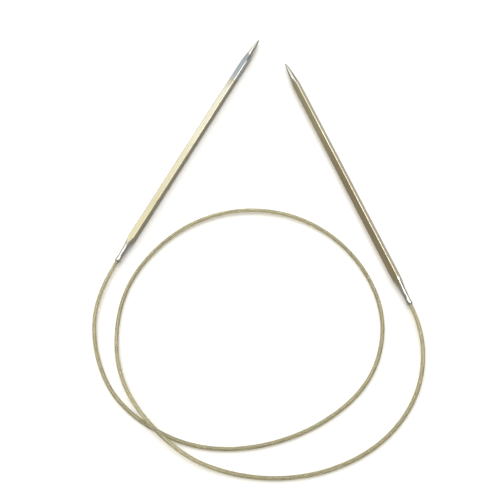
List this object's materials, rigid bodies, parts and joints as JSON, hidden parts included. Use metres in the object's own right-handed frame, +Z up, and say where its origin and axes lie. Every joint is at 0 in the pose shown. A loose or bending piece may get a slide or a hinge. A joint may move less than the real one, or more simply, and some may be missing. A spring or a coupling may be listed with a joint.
{
  "type": "circular knitting needle",
  "caption": "Circular knitting needle: square metal needles with turned points, swivelling on the ends of one translucent nylon cord that lies in a loop.",
  "frame": {"origin": "under the middle of the two needles' box, on the surface that the needle lies on", "axes": "+Z up from that surface; +Y towards the needles' points, +X from the left needle to the right one"},
  "size_m": [0.1327, 0.1965, 0.0039],
  "materials": {
    "nylon_cord": "translucent khaki nylon, smooth",
    "champagne_metal": "champagne tone, fine lengthwise brushing",
    "polished_point": "turned and polished silver",
    "crimp_metal": "plain, hidden",
    "pin_steel": "plain, hidden"
  },
  "bodies": {
    "cord": {"cord": "nylon_cord"},
    "left_lead": {"left_cord_lead": "nylon_cord"},
    "left_end": {"left_cord_end": "nylon_cord", "left_ferrule": "crimp_metal", "left_core_pin": "pin_steel"},
    "left_needle": {"left_shaft": "champagne_metal", "left_point": "polished_point"},
    "right_lead": {"right_cord_lead": "nylon_cord"},
    "right_end": {"right_cord_end": "nylon_cord", "right_ferrule": "crimp_metal", "right_core_pin": "pin_steel"},
    "right_needle": {"right_shaft": "champagne_metal", "right_point": "polished_point"}
  },
  "joints": [
    {"name": "left_bend", "type": "hinge", "parent": "cord", "child": "left_lead", "pos_m": [-0.06145, -0.09265, 0.0008], "axis": [0, 0, 1], "range_deg": [-2, 75], "stiffness_Nm_per_rad": 0.04},
    {"name": "left_lift", "type": "hinge", "parent": "left_lead", "child": "left_end", "pos_m": [-0.06345, -0.05162, 0.00166], "axis": [0.879, -0.4769, 0], "range_deg": [0, 70], "stiffness_Nm_per_rad": 0.04},
    {"name": "left_swivel", "type": "hinge", "parent": "left_end", "child": "left_needle", "pos_m": [-0.05987, -0.04503, 0.00166], "axis": [0.4769, 0.879, 0], "continuous": true},
    {"name": "right_bend", "type": "hinge", "parent": "cord", "child": "right_lead", "pos_m": [0.0545, -0.10735, 0.0008], "axis": [0, 0, -1], "range_deg": [-2, 75], "stiffness_Nm_per_rad": 0.04},
    {"name": "right_lift", "type": "hinge", "parent": "right_lead", "child": "right_end", "pos_m": [0.06187, -0.0704, 0.00195], "axis": [0.9271, 0.3748, 0], "range_deg": [0, 70], "stiffness_Nm_per_rad": 0.04},
    {"name": "right_swivel", "type": "hinge", "parent": "right_end", "child": "right_needle", "pos_m": [0.05981, -0.0653, 0.00195], "axis": [-0.3748, 0.9271, 0], "continuous": true}
  ]
}
